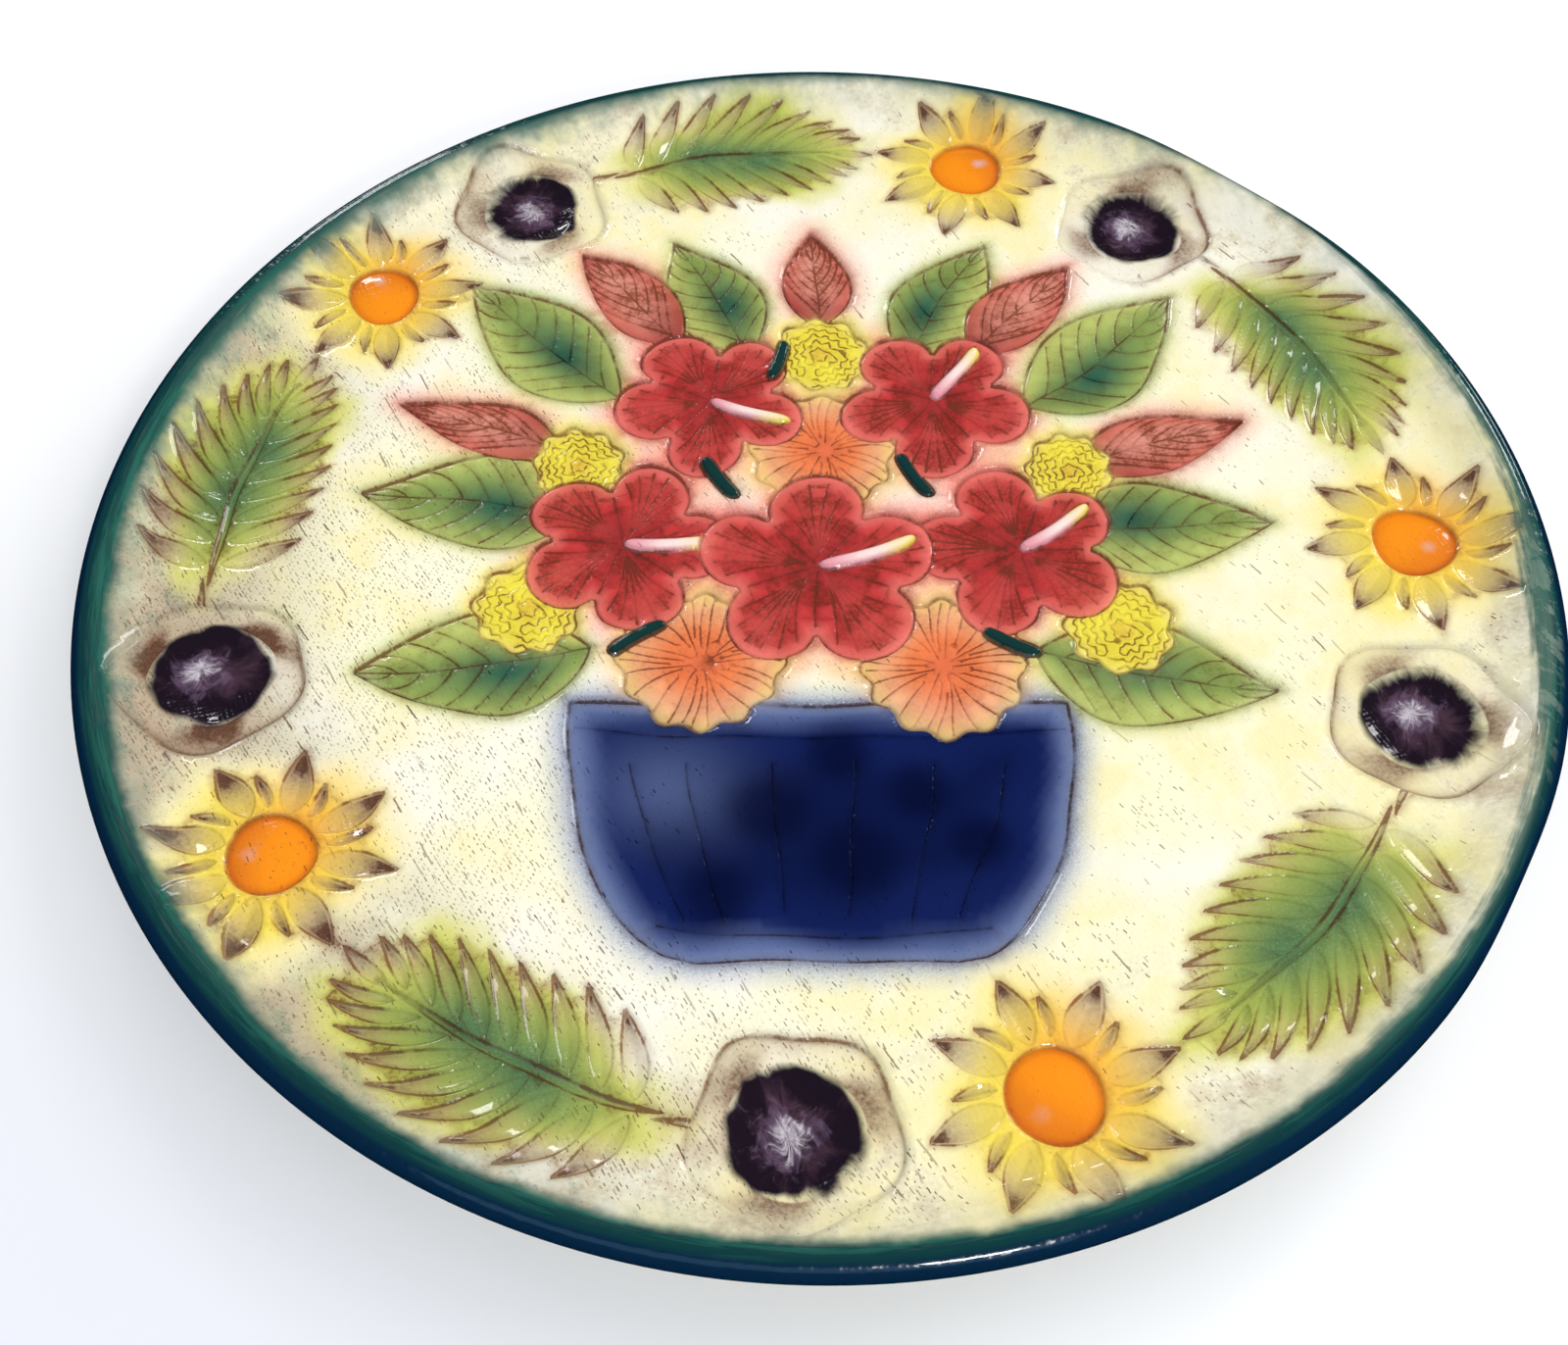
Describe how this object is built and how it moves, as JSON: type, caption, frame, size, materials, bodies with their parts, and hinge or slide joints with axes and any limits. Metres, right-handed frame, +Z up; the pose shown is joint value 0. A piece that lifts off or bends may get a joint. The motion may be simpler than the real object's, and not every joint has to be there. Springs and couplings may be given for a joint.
{
  "type": "decorative wall plate",
  "caption": "Round glazed earthenware plate with a rolled rim and foot ring, its face pressed with a bowl of flowers inside a border of ferns and blossoms.",
  "frame": {"origin": "centre of the plate, on the surface that its foot ring lies on", "axes": "+Z up out of the decorated face; -Y towards the bowl at the bottom of the picture, +Y towards the hanging holes"},
  "size_m": [0.38, 0.38, 0.03],
  "materials": {
    "glazed_clay": "clear gloss glaze over cream clay with airbrushed colours and a brushed teal rim"
  },
  "bodies": {
    "root": {"plate": "glazed_clay"}
  },
  "joints": []
}
